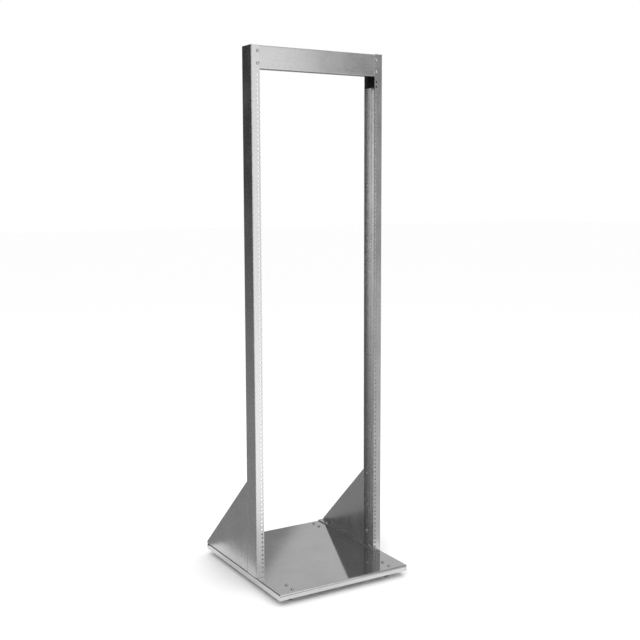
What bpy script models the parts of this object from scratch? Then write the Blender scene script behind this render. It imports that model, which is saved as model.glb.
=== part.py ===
"""Two-post open equipment rack on a folded sheet-metal base.

Metres, +Z up, front towards -Y. The origin is on the floor, under the middle of the base.
Two channel posts stand on a shallow tray with their flanges turned in. A crossbar ties
their tops, a triangular gusset braces each post to the back of the tray, and four
adjustable levelling feet carry the tray.
"""

import math

import bmesh
import bpy
from mathutils import Vector

# Driving dimensions
GAP = 0.0003              # clearance between pieces that touch
SHEET = 0.0027            # 12 gauge sheet
PANEL_OPENING = 0.45085   # clear width between the posts of a 19 inch rack
HOLE_SPACING = 0.46514    # across the two rows of panel screws
RACK_UNIT = 0.04445       # one panel unit, three screw holes high
UNIT_HOLES = (0.00635, 0.022225, 0.0381)
RACK_UNITS = 38
PANEL_HOLE_R = 0.00355    # clearance holes for clip nuts
PANEL_HOLE_SIDES = 8
FLANGE = 0.03175          # width of a post's front and rear flange
POST_DEPTH = 0.066
POST_TOP = 1.831          # above the floor
POST_SETBACK = 0.167      # from the tray's front edge to the posts' front face
BASE_DEPTH = 0.5715
LIP = 0.0206              # height of the tray's turned-down edge
FOOT_DROP = 0.020         # from the floor to the tray's lower edge
CROSSBAR_HEIGHT = 0.0762
CROSSBAR_FLANGE = 0.0254
GUSSET_HEIGHT = 0.3236
GUSSET_FLANGE = 0.027
GUSSET_TIP = 0.006        # blunt end of the triangle at the back of the tray
FOOT_SIDE_INSET = 0.0612  # from the tray's side edge to a levelling foot's axis
FOOT_END_INSET = 0.0445   # from the tray's front or rear edge to the same axis

# Cable clip
CLIP_LOW = 1.7170
CLIP_TOP = 1.7650
CLIP_DEPTH = 0.016
CLIP_BEND = 0.028         # radius of its round corner
CLIP_BORE_R = 0.0045

# Fasteners, all of one size
SHANK_R = 0.00275
HEAD_R = 0.0052
HEAD_H = 0.0034
NUT_FLATS = 0.0100
NUT_H = 0.0045
HOLE_R = 0.0031
NUT_BORE_R = 0.0031
ROUND_SIDES = 12

# Levelling feet
STUD_R = 0.0040
STUD_TOP = 0.0326
STUD_BORE_R = 0.0044
PAD_R = 0.0120
PAD_H = 0.0100
SOCKET_PLATE = (0.026, 0.060, 0.003)
BARREL_R = 0.0080
BARREL_H = 0.0090
LOCK_NUT_FLATS = 0.0130
LOCK_NUT_H = 0.0050
SOCKET_SCREW_SPACING = 0.039

# Places worked out from the driving dimensions
WIDTH = PANEL_OPENING + 2 * FLANGE
SIDE = WIDTH / 2
FRONT = -BASE_DEPTH / 2
REAR = BASE_DEPTH / 2
BASE_TOP = FOOT_DROP + LIP
BASE_UNDER = BASE_TOP - SHEET
POST_FRONT = FRONT + POST_SETBACK
POST_REAR = POST_FRONT + POST_DEPTH
POST_BOTTOM = BASE_TOP + GAP
SIDES = (("left", -1), ("right", 1))


def material(name, colour, roughness, metallic):
    made = bpy.data.materials.new(name)
    made.use_nodes = True
    surface = made.node_tree.nodes["Principled BSDF"]
    surface.inputs["Base Color"].default_value = (*colour, 1)
    surface.inputs["Roughness"].default_value = roughness
    surface.inputs["Metallic"].default_value = metallic
    made.diffuse_color = (*colour, 1)
    return made


def mesh_from(bm, name):
    """A mesh of the bmesh with its faces pointing out; round walls are shaded smooth."""
    bmesh.ops.recalc_face_normals(bm, faces=bm.faces)
    mesh = bpy.data.meshes.new(name)
    bm.to_mesh(mesh)
    bm.free()
    mesh.shade_smooth()
    mesh.set_sharp_from_angle(angle=math.radians(40))
    return mesh


def place(name, mesh, look, location=(0, 0, 0), rotation=(0, 0, 0)):
    piece = bpy.data.objects.new(name, mesh)
    piece.location = location
    piece.rotation_euler = rotation
    if look is not None and not mesh.materials:
        mesh.materials.append(look)
    bpy.context.collection.objects.link(piece)
    return piece


def circle(radius, centre=(0, 0), sides=ROUND_SIDES):
    turn = 2 * math.pi / sides
    return [
        (centre[0] + radius * math.cos(turn * (i + 0.5)), centre[1] + radius * math.sin(turn * (i + 0.5)))
        for i in range(sides)
    ]


def add_prism(bm, outline, axis, low, high):
    """Extrude a 2-D outline along axis; the outline's coordinates are the other two, in X, Y, Z order."""
    at = {"X": lambda u, v: (low, u, v), "Y": lambda u, v: (u, low, v), "Z": lambda u, v: (u, v, low)}[axis]
    along = {"X": Vector((1, 0, 0)), "Y": Vector((0, 1, 0)), "Z": Vector((0, 0, 1))}[axis]
    face = bm.faces.new([bm.verts.new(at(u, v)) for u, v in outline])
    grown = bmesh.ops.extrude_face_region(bm, geom=[face])
    moved = [item for item in grown["geom"] if isinstance(item, bmesh.types.BMVert)]
    bmesh.ops.translate(bm, verts=moved, vec=along * (high - low))


def prism(name, outline, axis, low, high):
    bm = bmesh.new()
    add_prism(bm, outline, axis, low, high)
    return mesh_from(bm, name)


def rectangle(u0, v0, u1, v1):
    return [(u0, v0), (u1, v0), (u1, v1), (u0, v1)]


def cut(piece, label, prisms):
    """Take the prisms, given as (outline, axis, low, high), out of the piece."""
    bm = bmesh.new()
    for outline, axis, low, high in prisms:
        add_prism(bm, outline, axis, low, high)
    cutter = place(f"cutter_{piece.name}_{label}", mesh_from(bm, "cutter"), None)
    cutter.hide_render = True
    cutter.display_type = "WIRE"
    boolean = piece.modifiers.new(label, "BOOLEAN")
    boolean.operation = "DIFFERENCE"
    boolean.object = cutter


def turned(name, profile, sides=ROUND_SIDES):
    """A solid of revolution about Z; the profile is (radius, height) from the bottom up."""
    bm = bmesh.new()
    rings = [
        [bm.verts.new((x, y, height)) for x, y in circle(radius, sides=sides)]
        for radius, height in profile
    ]
    for lower, upper in zip(rings, rings[1:]):
        for i in range(sides):
            j = (i + 1) % sides
            bm.faces.new((lower[i], lower[j], upper[j], upper[i]))
    bm.faces.new(rings[0])
    bm.faces.new(rings[-1])
    return mesh_from(bm, name)


def nut_mesh(name, flats, bore, height):
    """A hexagon nut from z = 0 up: its outline has a point at each corner and mid-side."""
    corner = flats / 2 / math.cos(math.pi / 6)
    outer = []
    for i in range(12):
        reach = corner if i % 2 == 0 else flats / 2
        outer.append((reach * math.cos(math.pi * i / 6), reach * math.sin(math.pi * i / 6)))
    inner = [(bore * math.cos(math.pi * i / 6), bore * math.sin(math.pi * i / 6)) for i in range(12)]
    bm = bmesh.new()
    rings = [
        [bm.verts.new((x, y, z)) for x, y in ring]
        for ring, z in ((outer, 0), (outer, height), (inner, height), (inner, 0))
    ]
    for a in range(4):
        first, second = rings[a], rings[(a + 1) % 4]
        for i in range(12):
            j = (i + 1) % 12
            bm.faces.new((first[i], first[j], second[j], second[i]))
    return mesh_from(bm, name)


def screw_mesh(name, grip):
    """A pan-head machine screw seated on z = 0; its shank runs down past the grip and the nut."""
    reach = grip + NUT_H + 0.002
    return turned(name, [
        (SHANK_R - 0.0005, -reach),
        (SHANK_R, -reach + 0.0006),
        (SHANK_R, 0.0),
        (HEAD_R, 0.0),
        (HEAD_R, HEAD_H * 0.55),
        (HEAD_R * 0.62, HEAD_H),
    ])


# Places of the fasteners
SCREW_X = HOLE_SPACING / 2
CROSSBAR_SCREW_Z = (("upper", POST_TOP - 0.0190), ("lower", POST_TOP - 0.0590))
FOOT_BOLT_Y = (("front", POST_FRONT + 0.018), ("rear", POST_REAR - 0.018))
GUSSET_POST_Z = (("upper", BASE_TOP + 0.279), ("lower", BASE_TOP + 0.061))
GUSSET_BASE_Y = (("front", POST_REAR + 0.035), ("rear", REAR - 0.048))
GUSSET_SCREW_X = SIDE - SHEET - 0.0135
LOWEST_UNIT = (BASE_TOP + POST_TOP - CROSSBAR_HEIGHT - RACK_UNITS * RACK_UNIT) / 2
PANEL_HOLE_Z = [
    LOWEST_UNIT + unit * RACK_UNIT + step for unit in range(RACK_UNITS) for step in UNIT_HOLES
]
CORNERS = [
    (f"{end}_{side}", sign * (SIDE - FOOT_SIDE_INSET), way * (REAR - FOOT_END_INSET))
    for end, way in (("front", -1), ("rear", 1))
    for side, sign in SIDES
]
SOCKET_SCREWS = (("outer", 1), ("inner", -1))


def base_tray(look):
    piece = place("base_tray", prism(
        "base_tray", rectangle(-SIDE, FRONT, SIDE, REAR), "Z", FOOT_DROP, BASE_TOP), look)
    inside = rectangle(-SIDE + SHEET, FRONT + SHEET, SIDE - SHEET, REAR - SHEET)
    cut(piece, "underside", [(inside, "Z", FOOT_DROP - 0.01, BASE_UNDER)])
    centres = [(sign * GUSSET_SCREW_X, y) for _, sign in SIDES for _, y in FOOT_BOLT_Y + GUSSET_BASE_Y]
    centres += [
        (x, y + way * SOCKET_SCREW_SPACING / 2)
        for _, x, y in CORNERS
        for _, way in SOCKET_SCREWS
    ]
    cut(piece, "holes", [
        (circle(HOLE_R, centre), "Z", BASE_UNDER - 0.004, BASE_TOP + 0.004) for centre in centres
    ])


def post(side, sign, look):
    """A channel with its web outside and its flanges turned in, closed below by a foot plate."""
    outer, inner = sign * SIDE, sign * (SIDE - FLANGE)
    outline = rectangle(min(outer, inner), POST_FRONT, max(outer, inner), POST_REAR)
    piece = place(f"upright_{side}", prism("upright", outline, "Z", POST_BOTTOM, POST_TOP), look)
    web, beyond = sign * (SIDE - SHEET), sign * (SIDE - FLANGE - 0.01)
    hollow = rectangle(min(web, beyond), POST_FRONT + SHEET, max(web, beyond), POST_REAR - SHEET)
    cut(piece, "channel", [(hollow, "Z", POST_BOTTOM + SHEET, POST_TOP + 0.01)])
    holes = [
        (circle(HOLE_R, (sign * SCREW_X, z)), "Y", POST_FRONT - 0.004, POST_FRONT + SHEET + 0.004)
        for _, z in CROSSBAR_SCREW_Z
    ]
    holes += [
        (circle(HOLE_R, (sign * GUSSET_SCREW_X, z)), "Y", POST_REAR - SHEET - 0.004, POST_REAR + 0.004)
        for _, z in GUSSET_POST_Z
    ]
    holes += [
        (circle(HOLE_R, (sign * GUSSET_SCREW_X, y)), "Z", POST_BOTTOM - 0.004, POST_BOTTOM + SHEET + 0.004)
        for _, y in FOOT_BOLT_Y
    ]
    cut(piece, "holes", holes)
    cut(piece, "panel_holes", [
        (circle(PANEL_HOLE_R, (sign * SCREW_X, z), PANEL_HOLE_SIDES), "Y",
         POST_FRONT - 0.004, POST_FRONT + SHEET + 0.004)
        for z in PANEL_HOLE_Z
    ])


def crossbar(look):
    """A channel lying on its side behind the posts' front flanges, open to the back."""
    end = SIDE - SHEET - GAP
    front = POST_FRONT + SHEET + GAP
    low = POST_TOP - CROSSBAR_HEIGHT
    outline = [
        (front, low),
        (front + CROSSBAR_FLANGE, low),
        (front + CROSSBAR_FLANGE, low + SHEET),
        (front + SHEET, low + SHEET),
        (front + SHEET, POST_TOP - SHEET),
        (front + CROSSBAR_FLANGE, POST_TOP - SHEET),
        (front + CROSSBAR_FLANGE, POST_TOP),
        (front, POST_TOP),
    ]
    piece = place("top_crossbar", prism("top_crossbar", outline, "X", -end, end), look)
    cut(piece, "holes", [
        (circle(HOLE_R, (sign * SCREW_X, z)), "Y", front - 0.004, front + SHEET + 0.004)
        for _, sign in SIDES
        for _, z in CROSSBAR_SCREW_Z
    ])


def gusset(side, sign, look):
    """A triangular plate flush with the post's web, with a flange against the post and one on the tray."""
    start, low = POST_REAR + GAP, BASE_TOP + GAP
    slope = (GUSSET_HEIGHT - GUSSET_TIP) / (REAR - start)
    outline = [(start, low), (REAR, low), (REAR, low + GUSSET_TIP), (start, low + GUSSET_HEIGHT)]
    outer, inner = sign * SIDE, sign * (SIDE - GUSSET_FLANGE)
    solid = prism("gusset", outline, "X", min(outer, inner), max(outer, inner))
    piece = place(f"gusset_{side}", solid, look)
    past = 0.02
    hollow = [
        (start + SHEET, low + SHEET),
        (REAR + past, low + SHEET),
        (REAR + past, low + GUSSET_TIP + past),
        (start + SHEET, low + GUSSET_HEIGHT - slope * SHEET + past * (1 + slope)),
    ]
    web, beyond = sign * (SIDE - SHEET), sign * (SIDE - GUSSET_FLANGE - 0.01)
    cut(piece, "fold", [(hollow, "X", min(web, beyond), max(web, beyond))])
    holes = [
        (circle(HOLE_R, (sign * GUSSET_SCREW_X, z)), "Y", start - 0.004, start + SHEET + 0.004)
        for _, z in GUSSET_POST_Z
    ]
    holes += [
        (circle(HOLE_R, (sign * GUSSET_SCREW_X, y)), "Z", low - 0.004, low + SHEET + 0.004)
        for _, y in GUSSET_BASE_Y
    ]
    cut(piece, "holes", holes)


def cable_clip(look):
    """A moulded block inside the right post: flat at the flange's free edge, round at its lower outer corner."""
    low, top = CLIP_LOW, CLIP_TOP
    free_edge = SIDE - FLANGE
    web = SIDE - SHEET - GAP
    turn = [-math.pi / 2 + math.pi / 2 * i / 8 for i in range(9)]
    outline = [(free_edge, top), (free_edge, low)]
    outline += [(web - CLIP_BEND + CLIP_BEND * math.cos(a), low + CLIP_BEND + CLIP_BEND * math.sin(a)) for a in turn]
    outline += [(web, top)]
    rear = POST_REAR - SHEET - GAP
    piece = place("cable_clip", prism("cable_clip", outline, "Y", rear - CLIP_DEPTH, rear), look)
    bore = circle(CLIP_BORE_R, ((free_edge + web) / 2, rear - CLIP_DEPTH / 2))
    cut(piece, "bore", [(bore, "Z", low - 0.01, top + 0.01)])


def fasteners(steel):
    """Every screw with its nut; a pair of sheets and their gap is the grip."""
    grip = 2 * SHEET + GAP
    screw = screw_mesh("pan_head_screw", grip)
    socket_screw = screw_mesh("socket_screw", SHEET + GAP + SOCKET_PLATE[2] - NUT_H)
    nut = nut_mesh("hex_nut", NUT_FLATS, NUT_BORE_R, NUT_H)
    facing_front, facing_rear = (math.pi / 2, 0, 0), (-math.pi / 2, 0, 0)
    for side, sign in SIDES:
        for level, z in CROSSBAR_SCREW_Z:
            at = f"{side}_{level}"
            x = sign * SCREW_X
            place(f"crossbar_screw_{at}", screw, steel, (x, POST_FRONT - GAP, z), facing_front)
            place(f"crossbar_nut_{at}", nut, steel, (x, POST_FRONT + grip + GAP, z), facing_rear)
        for level, z in GUSSET_POST_Z:
            at = f"{side}_{level}"
            x = sign * GUSSET_SCREW_X
            seat = POST_REAR - SHEET
            place(f"gusset_post_screw_{at}", screw, steel, (x, seat - GAP, z), facing_front)
            place(f"gusset_post_nut_{at}", nut, steel, (x, seat + grip + GAP, z), facing_rear)
        for kind, rows in (("upright_bolt", FOOT_BOLT_Y), ("gusset_base_screw", GUSSET_BASE_Y)):
            for level, y in rows:
                at = f"{side}_{level}"
                x = sign * GUSSET_SCREW_X
                seat = BASE_TOP + GAP + SHEET
                place(f"{kind}_{at}", screw, steel, (x, y, seat + GAP))
                nut_name = kind.replace("screw", "nut").replace("bolt", "nut")
                place(f"{nut_name}_{at}", nut, steel, (x, y, seat - grip - GAP - NUT_H))
    for corner, x, y in CORNERS:
        for label, way in SOCKET_SCREWS:
            out = way * math.copysign(SOCKET_SCREW_SPACING / 2, y)
            place(f"foot_screw_{corner}_{label}", socket_screw, steel, (x, y + out, BASE_TOP + GAP))


def levelling_feet(steel, rubber):
    """Per corner: a bored socket under the tray, a stud with its pad, and a lock nut on the stud."""
    width, length, thick = SOCKET_PLATE
    plate_top = BASE_UNDER - GAP
    barrel_low = plate_top - thick - BARREL_H
    foot = turned("levelling_foot", [
        (PAD_R * 0.94, 0.0),
        (PAD_R, 0.0012),
        (PAD_R, PAD_H * 0.75),
        (PAD_R * 0.72, PAD_H),
        (STUD_R, PAD_H),
        (STUD_R, STUD_TOP - 0.0006),
        (STUD_R - 0.0006, STUD_TOP),
    ], sides=24)
    lock_nut = nut_mesh("lock_nut", LOCK_NUT_FLATS, STUD_BORE_R, LOCK_NUT_H)
    barrel = circle(BARREL_R, sides=24)
    for corner, x, y in CORNERS:
        place(f"levelling_foot_{corner}", foot, rubber, (x, y, 0))
        place(f"lock_nut_{corner}", lock_nut, steel, (x, y, barrel_low - GAP - LOCK_NUT_H))
        outline = rectangle(-width / 2, -length / 2, width / 2, length / 2)
        socket = place(
            f"foot_socket_{corner}", prism("foot_socket", outline, "Z", plate_top - thick, plate_top), steel)
        socket.location = (x, y, 0)
        union = socket.modifiers.new("barrel", "BOOLEAN")
        union.operation = "UNION"
        union.object = place(
            f"cutter_barrel_{corner}",
            prism("barrel", barrel, "Z", barrel_low, plate_top - thick / 2), None, (x, y, 0))
        union.object.hide_render = True
        union.object.display_type = "WIRE"
        cut(socket, "bores", [
            (circle(STUD_BORE_R, (x, y), 24), "Z", barrel_low - 0.01, plate_top + 0.01),
            (circle(HOLE_R, (x, y - SOCKET_SCREW_SPACING / 2)), "Z", barrel_low, plate_top + 0.01),
            (circle(HOLE_R, (x, y + SOCKET_SCREW_SPACING / 2)), "Z", barrel_low, plate_top + 0.01),
        ])


def build():
    for old in list(bpy.data.objects):
        bpy.data.objects.remove(old, do_unlink=True)
    metal = material("satin_metal", (0.60, 0.60, 0.61), 0.28, 1.0)
    steel = material("zinc_steel", (0.55, 0.55, 0.56), 0.30, 1.0)
    plastic = material("black_plastic", (0.012, 0.012, 0.013), 0.38, 0.0)
    rubber = material("black_rubber", (0.02, 0.02, 0.02), 0.70, 0.0)
    base_tray(metal)
    crossbar(metal)
    for side, sign in SIDES:
        post(side, sign, metal)
        gusset(side, sign, metal)
    cable_clip(plastic)
    fasteners(steel)
    levelling_feet(steel, rubber)


build()
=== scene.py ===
"""Looks for a two-post equipment rack: folded satin steel, zinc fasteners, a black moulded clip and rubber feet.

Metres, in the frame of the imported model: +Z up, front towards -Y.
"""

import math

import bmesh
import bpy
from mathutils import Matrix, Vector

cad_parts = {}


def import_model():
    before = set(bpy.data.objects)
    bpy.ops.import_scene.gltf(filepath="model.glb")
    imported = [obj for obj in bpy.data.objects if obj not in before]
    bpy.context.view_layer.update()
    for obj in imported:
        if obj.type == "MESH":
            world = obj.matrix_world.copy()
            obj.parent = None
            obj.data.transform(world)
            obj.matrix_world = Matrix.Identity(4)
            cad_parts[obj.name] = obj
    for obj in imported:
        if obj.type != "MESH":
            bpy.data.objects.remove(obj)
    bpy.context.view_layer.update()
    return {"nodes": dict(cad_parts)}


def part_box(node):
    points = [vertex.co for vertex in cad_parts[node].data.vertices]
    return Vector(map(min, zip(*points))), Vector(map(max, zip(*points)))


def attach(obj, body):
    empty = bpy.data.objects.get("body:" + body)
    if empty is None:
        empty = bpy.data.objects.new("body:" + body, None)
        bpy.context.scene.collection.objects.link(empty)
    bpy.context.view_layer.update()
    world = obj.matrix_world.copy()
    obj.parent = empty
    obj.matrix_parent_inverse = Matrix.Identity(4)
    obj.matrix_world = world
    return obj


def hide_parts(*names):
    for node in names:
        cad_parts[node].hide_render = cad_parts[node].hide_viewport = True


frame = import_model()

# Sheet-metal practice
SHEET = 0.0027
FOLD_OUTER = 0.0036       # radius outside a fold
FOLD_INNER = 0.0011
CUT_EDGE = 0.0003         # broken edge of a sheared sheet
HOLE_R = 0.0031
RACK_UNIT = 0.04445
UNIT_HOLES = (0.00635, 0.022225, 0.0381)     # heights of the three holes in a panel unit
RACK_UNITS = 38
PANEL_HOLE_R = 0.00355    # clearance holes for clip nuts

PUNCH = 0.003             # how far a hole's cutter stands out on each side of the sheet
PAST = 0.01               # how far a cutter runs past an open side
TOUCH = 1e-5              # how near an edge lies to the plane it is picked by
GUSSET_TIP = 0.006        # blunt end of the triangle at the back of the tray

# Fasteners
HEAD_R = 0.0052
HEAD_H = 0.0034
NUT_FLATS = 0.0100
LOCK_NUT_FLATS = 0.0130
SHANK_R = 0.00275
THREAD_PITCH = 0.0011
THREAD_DEPTH = 0.00035
RECESS_DEPTH = 0.0018
RECESS_TURN = 37          # degrees from one screw's recess to the next

# Cable clip
CLIP_BEND = 0.0280        # radius of its round corner
CLIP_INSET = 0.0035       # width of the rim round the sunk panel
CLIP_SINK = 0.0016
CLIP_STEP = 0.0005        # shortest step between the rim and the panel's arc
CLIP_BORE_R = 0.0045

# Levelling feet
PAD_H = 0.010
STUD_R = 0.0040
STUD_BORE_R = 0.0043

METAL_SHARE = 0.96        # the rest scatters, as a lightly etched plate does
FLOOR_HALF = 30.0
PATCH_HALF = 0.355        # the part of the floor that metal mirrors


def corners(node):
    """The lowest and highest corner of a CAD node."""
    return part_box(node)


TRAY_LOW, TRAY_HIGH = corners("base_tray")
BAR_LOW, BAR_HIGH = corners("top_crossbar")
BASE_TOP = TRAY_HIGH.z
SIDES = (("left", -1), ("right", 1))


# ---------------------------------------------------------------- mesh helpers

def rectangle(u0, v0, u1, v1):
    return [(min(u0, u1), min(v0, v1)), (max(u0, u1), min(v0, v1)),
            (max(u0, u1), max(v0, v1)), (min(u0, u1), max(v0, v1))]


def circle(radius, centre=(0, 0), sides=24):
    turn = 2 * math.pi / sides
    return [
        (centre[0] + radius * math.cos(turn * (i + 0.5)), centre[1] + radius * math.sin(turn * (i + 0.5)))
        for i in range(sides)
    ]


def add_prism(bm, outline, axis, low, high):
    """Extrude a 2-D outline along axis; its coordinates are the other two axes, in X, Y, Z order."""
    at = {"X": lambda u, v: (low, u, v), "Y": lambda u, v: (u, low, v), "Z": lambda u, v: (u, v, low)}[axis]
    along = {"X": Vector((1, 0, 0)), "Y": Vector((0, 1, 0)), "Z": Vector((0, 0, 1))}[axis]
    face = bm.faces.new([bm.verts.new(at(u, v)) for u, v in outline])
    grown = bmesh.ops.extrude_face_region(bm, geom=[face])
    moved = [item for item in grown["geom"] if isinstance(item, bmesh.types.BMVert)]
    bmesh.ops.translate(bm, verts=moved, vec=along * (high - low))


def round_edges(bm, chosen, radius, segments=5):
    """Round the edges for which chosen(middle, direction) is true."""
    edges = []
    for edge in bm.edges:
        start, end = edge.verts[0].co, edge.verts[1].co
        if chosen((start + end) / 2, (end - start).normalized()):
            edges.append(edge)
    bmesh.ops.bevel(bm, geom=edges, offset=radius, segments=segments, profile=0.5, affect="EDGES",
                    clamp_overlap=True)


def mesh_of(bm, name):
    bmesh.ops.recalc_face_normals(bm, faces=bm.faces)
    mesh = bpy.data.meshes.new(name)
    bm.to_mesh(mesh)
    bm.free()
    return mesh


def new_object(name, mesh, look=None):
    piece = bpy.data.objects.new(name, mesh)
    bpy.context.scene.collection.objects.link(piece)
    if look is not None:
        piece.data.materials.append(look)
    return piece


def apply_modifiers(piece):
    """Bake a piece's modifiers into its mesh."""
    depsgraph = bpy.context.evaluated_depsgraph_get()
    baked = bpy.data.meshes.new_from_object(piece.evaluated_get(depsgraph), depsgraph=depsgraph)
    piece.modifiers.clear()
    piece.data = baked


def boolean(piece, other, operation="DIFFERENCE"):
    """Combine the piece with the other object, and discard the other."""
    step = piece.modifiers.new("cut", "BOOLEAN")
    step.operation = operation
    step.object = other
    apply_modifiers(piece)
    bpy.data.objects.remove(other, do_unlink=True)


def soften(piece, width, angle=35, segments=2):
    """Break the sharp edges and shade the curved parts smooth against true flats."""
    bevel = piece.modifiers.new("edges", "BEVEL")
    bevel.width = width
    bevel.segments = segments
    bevel.limit_method = "ANGLE"
    bevel.angle_limit = math.radians(angle)
    apply_modifiers(piece)
    smooth(piece)


def smooth(piece, angle=35):
    piece.data.shade_smooth()
    piece.data.set_sharp_from_angle(angle=math.radians(angle))
    step = piece.modifiers.new("flats", "WEIGHTED_NORMAL")
    step.keep_sharp = True
    apply_modifiers(piece)


def holes_object(holes, sides=20):
    """One cutter for round holes given as (centre u, centre v, radius, axis, low, high)."""
    bm = bmesh.new()
    for u, v, radius, axis, low, high in holes:
        add_prism(bm, circle(radius, (u, v), sides), axis, low, high)
    return new_object("cutter", mesh_of(bm, "cutter"))


def folded(node, solid, hollow, holes, look):
    """A sheet piece for a CAD node: a rounded solid less a rounded hollow, edges broken and holes punched."""
    name = f"{node}_shell"
    piece = new_object(name, mesh_of(solid, name))
    boolean(piece, new_object("cutter", mesh_of(hollow, "cutter")))
    soften(piece, CUT_EDGE, angle=50)
    if holes:
        boolean(piece, holes_object(holes))
        smooth(piece)
    piece.data.materials.clear()
    piece.data.materials.append(look)
    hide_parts(node)
    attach(piece, "rack")
    return piece


def turned(name, profile, sides=32):
    """A solid of revolution about Z from (radius, height) pairs, bottom up."""
    bm = bmesh.new()
    rings = [[bm.verts.new((x, y, z)) for x, y in circle(r, sides=sides)] for r, z in profile]
    for lower, upper in zip(rings, rings[1:]):
        for i in range(sides):
            j = (i + 1) % sides
            bm.faces.new((lower[i], lower[j], upper[j], upper[i]))
    bm.faces.new(rings[0])
    bm.faces.new(rings[-1])
    return mesh_of(bm, name)


# ---------------------------------------------------------------- materials

class Nodes:
    """Short calls for building a node tree."""

    def __init__(self, tree):
        self.tree = tree

    def add(self, kind, **settings):
        node = self.tree.nodes.new(kind)
        for key, value in settings.items():
            setattr(node, key, value)
        return node

    def link(self, source, target):
        self.tree.links.new(source, target)

    def noise(self, vector, scale, detail=3.0, roughness=0.55):
        node = self.add("ShaderNodeTexNoise")
        node.inputs["Scale"].default_value = scale
        node.inputs["Detail"].default_value = detail
        node.inputs["Roughness"].default_value = roughness
        self.link(vector, node.inputs["Vector"])
        return node.outputs["Fac"]

    def stretched(self, vector, scale):
        node = self.add("ShaderNodeMapping")
        node.inputs["Scale"].default_value = scale
        self.link(vector, node.inputs["Vector"])
        return node.outputs["Vector"]

    def ranged(self, value, low, high, to_low, to_high):
        node = self.add("ShaderNodeMapRange")
        for key, number in (("From Min", low), ("From Max", high), ("To Min", to_low), ("To Max", to_high)):
            node.inputs[key].default_value = number
        self.link(value, node.inputs["Value"])
        return node.outputs["Result"]

    def mixed(self, factor, first, second):
        node = self.add("ShaderNodeMix", data_type="RGBA")
        for socket, value in (("A", first), ("B", second)):
            target = [s for s in node.inputs if s.name == socket and s.type == "RGBA"][0]
            if isinstance(value, tuple):
                target.default_value = (*value, 1)
            else:
                self.link(value, target)
        if isinstance(factor, float):
            node.inputs["Factor"].default_value = factor
        else:
            self.link(factor, node.inputs["Factor"])
        return [s for s in node.outputs if s.type == "RGBA"][0]

    def bumped(self, height, strength, distance, normal=None):
        node = self.add("ShaderNodeBump")
        node.inputs["Strength"].default_value = strength
        node.inputs["Distance"].default_value = distance
        self.link(height, node.inputs["Height"])
        if normal is not None:
            self.link(normal, node.inputs["Normal"])
        return node.outputs["Normal"]


def new_material(name, metallic, colour):
    material = bpy.data.materials.new(name)
    material.use_nodes = True
    material.diffuse_color = (*colour, 1)
    nodes = Nodes(material.node_tree)
    surface = material.node_tree.nodes["Principled BSDF"]
    surface.inputs["Metallic"].default_value = metallic
    surface.inputs["Base Color"].default_value = (*colour, 1)
    place = nodes.add("ShaderNodeTexCoord").outputs["Object"]
    return material, nodes, surface, place


def satin_metal(name, grain, level=0.58, smooth_at=0.20, rough_at=0.30):
    """Rolled sheet: a fine grain along the fold, cloudy roughness, and faint handling marks."""
    material, nodes, surface, place = new_material(name, METAL_SHARE, (level,) * 3)
    clouds = nodes.noise(place, 9.0, 4.0)
    mottle = nodes.noise(place, 160.0, 2.0)
    brushed = nodes.noise(nodes.stretched(place, grain), 1.0, 3.0)
    tone = nodes.mixed(nodes.ranged(clouds, 0.3, 0.7, 0.0, 1.0), (level * 0.93,) * 3, (level * 1.05,) * 3)
    tone = nodes.mixed(nodes.ranged(mottle, 0.35, 0.75, 0.0, 0.22), tone, (level * 0.72,) * 3)
    nodes.link(tone, surface.inputs["Base Color"])
    rough = nodes.add("ShaderNodeMath", operation="ADD")
    nodes.link(nodes.ranged(clouds, 0.3, 0.7, smooth_at, rough_at), rough.inputs[0])
    nodes.link(nodes.ranged(brushed, 0.3, 0.7, -0.02, 0.03), rough.inputs[1])
    nodes.link(rough.outputs["Value"], surface.inputs["Roughness"])
    grained = nodes.bumped(brushed, 0.05, 0.0002)
    nodes.link(nodes.bumped(nodes.noise(place, 38.0, 2.0), 0.05, 0.0004, grained), surface.inputs["Normal"])
    return material


def zinc_steel():
    """Plated hardware: brighter, with a fine crystalline mottle."""
    material, nodes, surface, place = new_material("zinc_steel", 1.0, (0.62, 0.62, 0.63))
    speckle = nodes.noise(place, 900.0, 3.0)
    patches = nodes.noise(place, 120.0, 3.0)
    tone = nodes.mixed(nodes.ranged(patches, 0.35, 0.65, 0.0, 1.0), (0.50, 0.50, 0.505), (0.72, 0.72, 0.725))
    nodes.link(tone, surface.inputs["Base Color"])
    nodes.link(nodes.ranged(speckle, 0.3, 0.7, 0.20, 0.36), surface.inputs["Roughness"])
    nodes.link(nodes.bumped(speckle, 0.08, 0.0002), surface.inputs["Normal"])
    return material


def black_plastic():
    """Moulded nylon with a fine spark-eroded texture."""
    material, nodes, surface, place = new_material("black_plastic", 0.0, (0.008, 0.008, 0.009))
    texture = nodes.noise(place, 2200.0, 2.0)
    wear = nodes.noise(place, 60.0, 3.0)
    tone = nodes.mixed(nodes.ranged(wear, 0.4, 0.8, 0.0, 1.0), (0.006, 0.006, 0.0065), (0.014, 0.014, 0.015))
    nodes.link(tone, surface.inputs["Base Color"])
    nodes.link(nodes.ranged(wear, 0.3, 0.7, 0.38, 0.50), surface.inputs["Roughness"])
    nodes.link(nodes.bumped(texture, 0.15, 0.0002), surface.inputs["Normal"])
    return material


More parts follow.
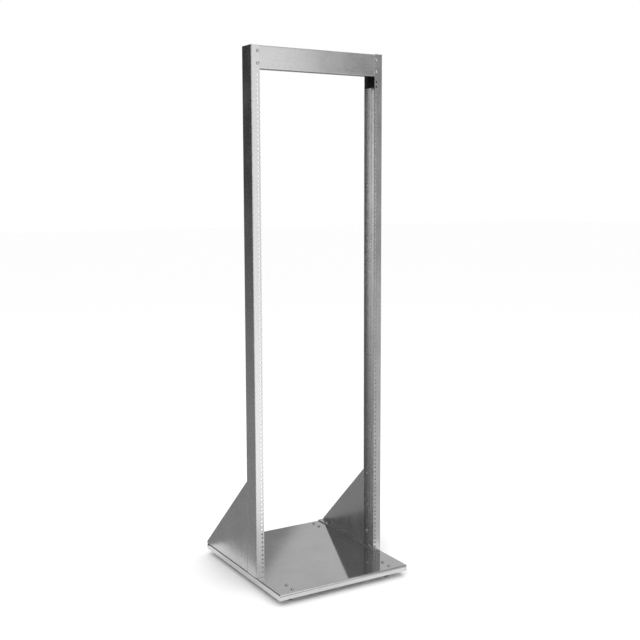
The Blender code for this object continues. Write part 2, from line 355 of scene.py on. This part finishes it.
def black_rubber():
    """Moulded rubber: matt, faintly dusty, with a pebbled skin."""
    material, nodes, surface, place = new_material("black_rubber", 0.0, (0.02, 0.02, 0.02))
    dust = nodes.noise(place, 90.0, 4.0)
    pebble = nodes.noise(place, 1500.0, 2.0)
    tone = nodes.mixed(nodes.ranged(dust, 0.4, 0.75, 0.0, 1.0), (0.010, 0.010, 0.010), (0.030, 0.029, 0.028))
    nodes.link(tone, surface.inputs["Base Color"])
    nodes.link(nodes.ranged(dust, 0.3, 0.7, 0.62, 0.80), surface.inputs["Roughness"])
    nodes.link(nodes.bumped(pebble, 0.25, 0.0002), surface.inputs["Normal"])
    return material


# ---------------------------------------------------------------- folded pieces

def screw_centre(node, axis):
    """Where a CAD screw's or nut's axis crosses the plane across it."""
    low, high = corners(node)
    middle = (low + high) / 2
    return {"Y": (middle.x, middle.z), "Z": (middle.x, middle.y)}[axis]


def named(*starts):
    return sorted(n for n in frame["nodes"] if n.startswith(starts))


def base_tray(look):
    """The tray: its four edges are folded down, and its corners are closed and dressed."""
    solid, hollow = bmesh.new(), bmesh.new()
    add_prism(solid, rectangle(TRAY_LOW.x, TRAY_LOW.y, TRAY_HIGH.x, TRAY_HIGH.y), "Z", TRAY_LOW.z, TRAY_HIGH.z)
    level = TRAY_HIGH.z - TOUCH
    round_edges(solid, lambda m, d: m.z > level or abs(d.z) > 0.9, FOLD_OUTER)
    inside = rectangle(TRAY_LOW.x + SHEET, TRAY_LOW.y + SHEET, TRAY_HIGH.x - SHEET, TRAY_HIGH.y - SHEET)
    ceiling = TRAY_HIGH.z - SHEET
    add_prism(hollow, inside, "Z", TRAY_LOW.z - PAST, ceiling)
    round_edges(hollow, lambda m, d: m.z > ceiling - TOUCH or abs(d.z) > 0.9, FOLD_INNER)
    holes = [
        (*screw_centre(node, "Z"), HOLE_R, "Z", ceiling - PUNCH, BASE_TOP + PUNCH)
        for node in named("upright_bolt", "gusset_base_screw", "foot_screw")
    ]
    folded("base_tray", solid, hollow, holes, look)


def post(side, sign, look):
    """A post: a channel with rounded folds, a foot plate, and the panel holes up its front flange."""
    low, high = corners(f"upright_{side}")
    outer = high.x if sign > 0 else low.x
    inner = low.x if sign > 0 else high.x
    solid, hollow = bmesh.new(), bmesh.new()
    add_prism(solid, rectangle(outer, low.y, inner, high.y), "Z", low.z, high.z)
    round_edges(solid, lambda m, d: abs(d.z) > 0.9 and abs(m.x - outer) < TOUCH, FOLD_OUTER)
    web, beyond = outer - sign * SHEET, inner - sign * PAST
    add_prism(hollow, rectangle(web, low.y + SHEET, beyond, high.y - SHEET), "Z", low.z + SHEET, high.z + PAST)
    round_edges(hollow, lambda m, d: abs(d.z) > 0.9 and abs(m.x - web) < TOUCH, FOLD_INNER)
    holes = []
    for node in named(f"crossbar_screw_{side}"):
        holes.append((*screw_centre(node, "Y"), HOLE_R, "Y", low.y - PUNCH, low.y + SHEET + PUNCH))
    column = holes[0][0]
    lowest = (BASE_TOP + BAR_LOW.z - RACK_UNITS * RACK_UNIT) / 2
    for unit in range(RACK_UNITS):
        for step in UNIT_HOLES:
            height = lowest + unit * RACK_UNIT + step
            holes.append((column, height, PANEL_HOLE_R, "Y", low.y - PUNCH, low.y + SHEET + PUNCH))
    for node in named(f"gusset_post_screw_{side}"):
        holes.append((*screw_centre(node, "Y"), HOLE_R, "Y", high.y - SHEET - PUNCH, high.y + PUNCH))
    for node in named(f"upright_bolt_{side}"):
        holes.append((*screw_centre(node, "Z"), HOLE_R, "Z", low.z - PUNCH, low.z + SHEET + PUNCH))
    folded(f"upright_{side}", solid, hollow, holes, look)


def crossbar(look):
    """The crossbar: a shallow channel behind the posts' front flanges."""
    low, high = BAR_LOW, BAR_HIGH
    solid, hollow = bmesh.new(), bmesh.new()
    add_prism(solid, rectangle(low.y, low.z, high.y, high.z), "X", low.x, high.x)
    round_edges(solid, lambda m, d: abs(d.x) > 0.9 and m.y < low.y + TOUCH, FOLD_OUTER)
    add_prism(hollow, rectangle(low.y + SHEET, low.z + SHEET, high.y + PAST, high.z - SHEET), "X",
              low.x - PAST, high.x + PAST)
    round_edges(hollow, lambda m, d: abs(d.x) > 0.9 and m.y < low.y + SHEET + TOUCH, FOLD_INNER)
    holes = [
        (*screw_centre(node, "Y"), HOLE_R, "Y", low.y - PUNCH, low.y + SHEET + PUNCH)
        for node in named("crossbar_screw")
    ]
    folded("top_crossbar", solid, hollow, holes, look)


def gusset(side, sign, look):
    """A gusset: a triangle with one flange on the tray and one against the post."""
    low, high = corners(f"gusset_{side}")
    outer = high.x if sign > 0 else low.x
    inner = low.x if sign > 0 else high.x
    slope = (high.z - low.z - GUSSET_TIP) / (high.y - low.y)
    solid, hollow = bmesh.new(), bmesh.new()
    outline = [(low.y, low.z), (high.y, low.z), (high.y, low.z + GUSSET_TIP), (low.y, high.z)]
    add_prism(solid, outline, "X", min(outer, inner), max(outer, inner))

    def along_fold(plane, depth):
        """Picks the edges where the web's face meets a flange's face that lies depth inside the box."""
        return lambda m, d: abs(m.x - plane) < TOUCH and (
            m.z < low.z + depth + TOUCH or m.y < low.y + depth + TOUCH
        )

    round_edges(solid, along_fold(outer, 0.0), FOLD_OUTER)
    clear = 2 * PAST
    cut = [
        (low.y + SHEET, low.z + SHEET),
        (high.y + clear, low.z + SHEET),
        (high.y + clear, low.z + GUSSET_TIP + clear),
        (low.y + SHEET, high.z - slope * SHEET + clear * (1 + slope)),
    ]
    web, beyond = outer - sign * SHEET, inner - sign * PAST
    add_prism(hollow, cut, "X", min(web, beyond), max(web, beyond))
    round_edges(hollow, along_fold(web, SHEET), FOLD_INNER)
    holes = [
        (*screw_centre(node, "Y"), HOLE_R, "Y", low.y - PUNCH, low.y + SHEET + PUNCH)
        for node in named(f"gusset_post_screw_{side}")
    ]
    holes += [
        (*screw_centre(node, "Z"), HOLE_R, "Z", low.z - PUNCH, low.z + SHEET + PUNCH)
        for node in named(f"gusset_base_screw_{side}")
    ]
    folded(f"gusset_{side}", solid, hollow, holes, look)


# ---------------------------------------------------------------- small pieces

def thread_profile(radius, low, high):
    """A turned thread: rings that alternate between crest and root."""
    count = int((high - low) / THREAD_PITCH)
    pitch = (high - low) / count
    rings = []
    for turn in range(count):
        rings.append((radius - THREAD_DEPTH, low + turn * pitch + pitch * 0.12))
        rings.append((radius, low + turn * pitch + pitch * 0.5))
        rings.append((radius - THREAD_DEPTH, low + turn * pitch + pitch * 0.88))
    return rings


def screw_mesh(reach):
    """A pan-head screw seated on z = 0: domed head, cross recess, threaded shank."""
    profile = [(SHANK_R - 0.0009, -reach), (SHANK_R - THREAD_DEPTH, -reach + 0.0007)]
    profile += thread_profile(SHANK_R, -reach + 0.0008, -0.0004)
    profile += [(SHANK_R, 0.0), (HEAD_R - 0.0003, 0.0), (HEAD_R, 0.0003)]
    for i in range(7):
        angle = math.pi / 2 * i / 7
        profile.append((HEAD_R * math.cos(angle * 0.78), HEAD_H * (0.35 + 0.65 * math.sin(angle))))
    profile.append((HEAD_R * 0.22, HEAD_H))
    screw = new_object("screw", turned("pan_screw", profile))
    recess = bmesh.new()
    arm, width = HEAD_R * 0.55, HEAD_R * 0.15
    add_prism(recess, rectangle(-arm, -width, arm, width), "Z", HEAD_H - RECESS_DEPTH, HEAD_H + 0.002)
    other = bmesh.new()
    add_prism(other, rectangle(-width, -arm, width, arm), "Z", HEAD_H - RECESS_DEPTH, HEAD_H + 0.002)
    boolean(screw, new_object("cutter", mesh_of(recess, "cutter")))
    boolean(screw, new_object("cutter", mesh_of(other, "cutter")))
    smooth(screw)
    mesh = screw.data
    bpy.data.objects.remove(screw, do_unlink=True)
    return mesh


def nut_mesh(flats, height, bore):
    """A hexagon nut from z = 0 up, its corners chamfered by the turning tool."""
    corner = flats / 2 / math.cos(math.pi / 6)
    bm = bmesh.new()
    outline = [(corner * math.cos(math.pi * i / 3), corner * math.sin(math.pi * i / 3)) for i in range(6)]
    add_prism(bm, outline, "Z", 0, height)
    nut = new_object("nut", mesh_of(bm, "nut"))
    cone = [(flats * 0.47, 0.0), (corner, height * 0.16), (corner, height * 0.84), (flats * 0.47, height)]
    boolean(nut, new_object("cone", turned("cone", cone, 48)), "INTERSECT")
    hole = [(bore + 0.0006, -0.001), (bore + 0.0006, 0.0001), (bore, 0.0006), (bore, height - 0.0006),
            (bore + 0.0006, height - 0.0001), (bore + 0.0006, height + 0.001)]
    boolean(nut, new_object("bore", turned("bore", hole, 32)))
    smooth(nut, 25)
    mesh = nut.data
    bpy.data.objects.remove(nut, do_unlink=True)
    return mesh


def stand_for(node, mesh, look, matrix, body="rack"):
    """Place a detailed piece where a CAD node is."""
    piece = new_object(f"{node}_detail", mesh.copy())
    piece.data.materials.clear()
    piece.data.materials.append(look)
    piece.data.transform(matrix)
    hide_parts(node)
    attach(piece, body)
    return piece


def fasteners(look):
    """A detailed screw or nut in place of each CAD one; each screw's recess has its own angle."""
    meshes = {}
    for index, node in enumerate(named("crossbar_", "gusset_post_", "gusset_base_", "upright_bolt",
                                       "upright_nut", "foot_screw")):
        low, high = corners(node)
        across = node.startswith(("crossbar_", "gusset_post_"))
        middle = (low + high) / 2
        turn = Matrix.Rotation(math.radians(RECESS_TURN * index % 90), 4, "Z")
        if "_nut_" in node:
            size = high - low
            height = size.y if across else size.z
            if "nut" not in meshes:
                meshes["nut"] = nut_mesh(NUT_FLATS, height, SHANK_R + 0.0001)
            if across:
                matrix = Matrix.Translation((middle.x, low.y, middle.z)) @ Matrix.Rotation(-math.pi / 2, 4, "X")
            else:
                matrix = Matrix.Translation((middle.x, middle.y, low.z))
            stand_for(node, meshes["nut"], look, matrix)
            continue
        length = (high.y - low.y) if across else (high.z - low.z)
        reach = round(length - HEAD_H, 5)
        if reach not in meshes:
            meshes[reach] = screw_mesh(reach)
        if across:
            matrix = Matrix.Translation((middle.x, low.y + HEAD_H, middle.z)) @ Matrix.Rotation(math.pi / 2, 4, "X")
        else:
            matrix = Matrix.Translation((middle.x, middle.y, high.z - HEAD_H))
        stand_for(node, meshes[reach], look, matrix @ turn)


def cable_clip(look):
    """The moulded clip: generous radii, a shallow sunk panel and a bored cable way."""
    low, high = corners("cable_clip")
    turn = [-math.pi / 2 + math.pi / 2 * i / 16 for i in range(17)]
    outline = [(low.x, high.z), (low.x, low.z)]
    outline += [
        (high.x - CLIP_BEND + CLIP_BEND * math.cos(a), low.z + CLIP_BEND + CLIP_BEND * math.sin(a))
        for a in turn
    ]
    outline += [(high.x, high.z)]
    body = bmesh.new()
    add_prism(body, outline, "Y", low.y, high.y)
    piece = new_object("cable_clip_moulding", mesh_of(body, "cable_clip"))
    sunk = bmesh.new()
    inner_bend = CLIP_BEND - CLIP_INSET
    rim = low.x + CLIP_INSET
    arc = [
        (high.x - CLIP_BEND + inner_bend * math.cos(a), low.z + CLIP_BEND + inner_bend * math.sin(a))
        for a in turn
    ]
    arc = [point for point in arc if point[0] > rim + CLIP_STEP]
    panel = [(rim, high.z + PAST), (rim, arc[0][1]), *arc, (high.x - CLIP_INSET, high.z + PAST)]
    add_prism(sunk, panel, "Y", low.y - PAST, low.y + CLIP_SINK)
    boolean(piece, new_object("cutter", mesh_of(sunk, "cutter")))
    middle = ((low.x + high.x) / 2, (low.y + high.y) / 2)
    boolean(piece, holes_object([(*middle, CLIP_BORE_R, "Z", low.z - PAST, high.z + PAST)], 32))
    soften(piece, 0.0009, angle=40, segments=3)
    piece.data.materials.append(look)
    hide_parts("cable_clip")
    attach(piece, "rack")


def levelling_feet(steel, rubber):
    """Each foot: a ribbed rubber pad under a threaded stud, with its lock nut and socket above."""
    for node in named("levelling_foot"):
        corner = node.replace("levelling_foot_", "")
        low, high = corners(node)
        middle = (low + high) / 2
        pad_r = (high.x - low.x) / 2 - 0.0001
        pad = [(pad_r * 0.90, 0.0), (pad_r * 0.97, 0.0005), (pad_r, 0.0014)]
        for rib in range(3):
            z = 0.0022 + rib * 0.0016
            pad += [(pad_r, z), (pad_r - 0.0004, z + 0.0004), (pad_r - 0.0004, z + 0.0008), (pad_r, z + 0.0012)]
        pad += [(pad_r, 0.0074), (pad_r * 0.96, 0.0084), (pad_r * 0.86, 0.0092), (pad_r * 0.72, PAD_H - 0.0003),
                (STUD_R + 0.0022, PAD_H), (STUD_R + 0.0002, PAD_H)]
        matrix = Matrix.Translation((middle.x, middle.y, low.z))
        pad_mesh = turned("foot_pad", pad, 40)
        pad_piece = stand_for(node, pad_mesh, rubber, matrix, node)
        smooth(pad_piece, 50)
        stud = [(STUD_R - THREAD_DEPTH, PAD_H - 0.002)]
        stud += thread_profile(STUD_R, PAD_H - 0.001, high.z - 0.0008)
        stud.append((STUD_R - 0.0007, high.z))
        stud_piece = new_object(f"foot_stud_{corner}", turned("foot_stud", stud, 28), steel)
        stud_piece.data.transform(Matrix.Translation((middle.x, middle.y, 0)))
        smooth(stud_piece, 50)
        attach(stud_piece, node)
    for node in named("lock_nut"):
        low, high = corners(node)
        middle = (low + high) / 2
        mesh = nut_mesh(LOCK_NUT_FLATS, high.z - low.z, STUD_BORE_R)
        stand_for(node, mesh, steel, Matrix.Translation((middle.x, middle.y, low.z)))
    for node in named("foot_socket"):
        frame["nodes"][node].data.materials.clear()
        frame["nodes"][node].data.materials.append(steel)


# ---------------------------------------------------------------- stage

def floor():
    """A pale floor. Metal mirrors only the patch close round the base, as if the paper ended there."""
    material = bpy.data.materials.new("pale_floor")
    material.use_nodes = True
    surface = material.node_tree.nodes["Principled BSDF"]
    surface.inputs["Base Color"].default_value = (0.985, 0.985, 0.985, 1)
    surface.inputs["Roughness"].default_value = 1.0
    surface.inputs["Specular IOR Level"].default_value = 0.0
    for name, half, level in (("floor", FLOOR_HALF, 0.0), ("floor_patch", PATCH_HALF, 0.0001)):
        bm = bmesh.new()
        bmesh.ops.create_grid(bm, x_segments=1, y_segments=1, size=half)
        sheet = new_object(name, mesh_of(bm, name), material)
        sheet.location.z = level
        sheet.visible_glossy = name == "floor_patch"


def world():
    """White to the camera and to scattered light; reflections see a grey studio with darker and lighter sides."""
    made = bpy.data.worlds.new("studio")
    bpy.context.scene.world = made
    made.use_nodes = True
    tree = made.node_tree
    nodes = Nodes(tree)
    direction = nodes.add("ShaderNodeTexCoord").outputs["Generated"]

    def lobe(toward, edge, core):
        dot = nodes.add("ShaderNodeVectorMath", operation="DOT_PRODUCT")
        nodes.link(direction, dot.inputs[0])
        dot.inputs[1].default_value = Vector(toward).normalized()
        ranged = nodes.add("ShaderNodeMapRange", interpolation_type="SMOOTHSTEP")
        ranged.inputs["From Min"].default_value = edge
        ranged.inputs["From Max"].default_value = core
        nodes.link(dot.outputs["Value"], ranged.inputs["Value"])
        return ranged.outputs["Result"]

    tone = (0.30,) * 3
    for toward, edge, core, level in (
        ((0.50, 0.80, 0.25), 0.2, 0.9, 0.62),         # pale wall behind the tray
        ((-0.45, 0.89, 0.02), 0.92, 0.985, 0.03),     # dark gap behind, on the left
        ((-0.56, -0.83, -0.15), 0.93, 0.99, 3.0),     # lamp behind the camera, for the posts' insides
        ((0.0, 0.0, -1.0), -0.05, 0.30, 0.68),        # floor
    ):
        tone = nodes.mixed(lobe(toward, edge, core), tone, (level,) * 3)
    shade = nodes.mixed(lobe((-0.626, 0.568, -0.530), -0.004, 0.006), (1.0,) * 3, (0.45,) * 3)
    dimmed = nodes.add("ShaderNodeMix", data_type="RGBA", blend_type="MULTIPLY")
    dimmed.inputs["Factor"].default_value = 1.0
    colours = [socket for socket in dimmed.inputs if socket.type == "RGBA"]
    nodes.link(tone, colours[0])
    nodes.link(shade, colours[1])
    reflected = [socket for socket in dimmed.outputs if socket.type == "RGBA"][0]
    light_path = nodes.add("ShaderNodeLightPath")
    shown = nodes.mixed(light_path.outputs["Is Glossy Ray"], (1.0, 1.0, 1.0), reflected)
    background = tree.nodes["Background"]
    nodes.link(shown, background.inputs["Color"])
    background.inputs["Strength"].default_value = 1.0


def area_light(name, location, aim, size, power):
    light = bpy.data.lights.new(name, "AREA")
    light.shape = "RECTANGLE"
    light.size, light.size_y = size
    light.energy = power
    holder = bpy.data.objects.new(name, light)
    holder.location = location
    holder.rotation_euler = (Vector(aim) - Vector(location)).to_track_quat("-Z", "Y").to_euler()
    holder.visible_camera = False
    bpy.context.scene.collection.objects.link(holder)
    return holder


def lights():
    area_light("key", (-2.3, -2.6, 3.4), (0, 0, 0.4), (0.9, 0.9), 25)
    area_light("overhead", (0.6, 0.4, 4.2), (0, 0, 0), (3.0, 3.0), 20)
    area_light("front_softbox", (0.38, -1.50, 1.10), (-0.05, 0, 1.1), (0.75, 2.8), 6.5)


def camera():
    """The photograph's viewpoint: front left, at chest height, looking a little down."""
    yaw, pitch, roll = math.radians(30.955), math.radians(-6.391), math.radians(-0.174)
    data = bpy.data.cameras.new("camera")
    data.sensor_width = 36
    data.lens = 55.41
    data.shift_y = -0.03
    data.clip_end = 200
    eye = bpy.data.objects.new("camera", data)
    eye.matrix_world = (
        Matrix.Translation((-1.7379, -3.0167, 1.3610))
        @ Matrix.Rotation(-yaw, 4, "Z")
        @ Matrix.Rotation(math.pi / 2 + pitch, 4, "X")
        @ Matrix.Rotation(roll, 4, "Z")
    )
    bpy.context.scene.collection.objects.link(eye)
    bpy.context.scene.camera = eye


def main():
    upright_metal = satin_metal("satin_metal_posts", (260, 260, 5))
    tray_metal = satin_metal("satin_metal_tray", (5, 260, 260), smooth_at=0.05, rough_at=0.08)
    bar_metal = satin_metal("satin_metal_bar", (5, 260, 260), smooth_at=0.24, rough_at=0.32)
    steel, plastic, rubber = zinc_steel(), black_plastic(), black_rubber()
    base_tray(tray_metal)
    crossbar(bar_metal)
    for side, sign in SIDES:
        post(side, sign, upright_metal)
        gusset(side, sign, upright_metal)
    fasteners(steel)
    cable_clip(plastic)
    levelling_feet(steel, rubber)
    floor()
    world()
    lights()
    camera()
    view = bpy.context.scene.view_settings
    view.view_transform = "Standard"
    view.look = "None"


main()
